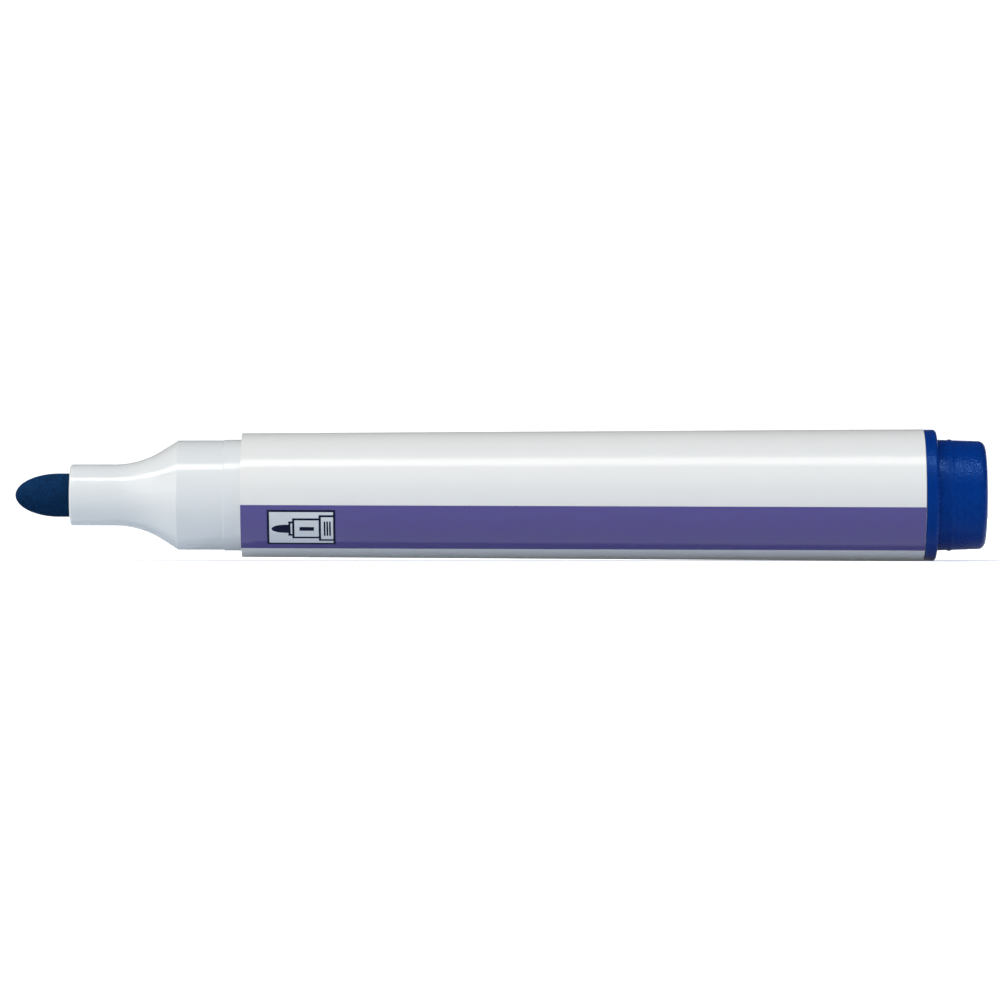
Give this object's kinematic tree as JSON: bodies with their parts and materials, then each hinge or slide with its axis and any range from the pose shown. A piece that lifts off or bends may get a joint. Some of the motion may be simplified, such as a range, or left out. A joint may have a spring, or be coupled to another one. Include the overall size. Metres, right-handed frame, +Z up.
{
  "type": "felt tip marker",
  "caption": "Round felt tip marker without its cap: bullet fibre nib in a stepped white nose, tapered white barrel in a printed label with a violet stripe, and a blue end plug.",
  "frame": {"origin": "on the marker's axis, in the plane of the barrel's mouth, where a cap pushed over the nose stops", "axes": "+X along the axis from the nib to the end plug, +Z up as the marker lies on its side, -Y towards the printed front"},
  "size_m": [0.1212, 0.0164, 0.0164],
  "materials": {
    "barrel_plastic": "satin moulded polypropylene",
    "label_film": "gloss film, white with a violet printed stripe",
    "nose_plastic": "satin moulded polypropylene, slightly cool white",
    "nib_felt": "bonded fibre soaked with blue ink",
    "reservoir_fibre": "bundled fibre soaked with blue ink",
    "wrap_film": "thin clear film",
    "plug_plastic": "spark-eroded moulded polypropylene"
  },
  "bodies": {
    "barrel": {"barrel": "barrel_plastic", "barrel_label": "label_film", "front_section": "nose_plastic", "ink_reservoir": "reservoir_fibre", "reservoir_wrap": "wrap_film"},
    "nib": {"nib": "nib_felt"},
    "end_plug": {"end_plug": "plug_plastic"}
  },
  "joints": [
    {"name": "nib_pull", "type": "slide", "parent": "barrel", "child": "nib", "axis": [-1, 0, 0], "range_m": [0, 0.026]},
    {"name": "plug_pull", "type": "slide", "parent": "barrel", "child": "end_plug", "axis": [1, 0, 0], "range_m": [0, 0.0055]}
  ]
}
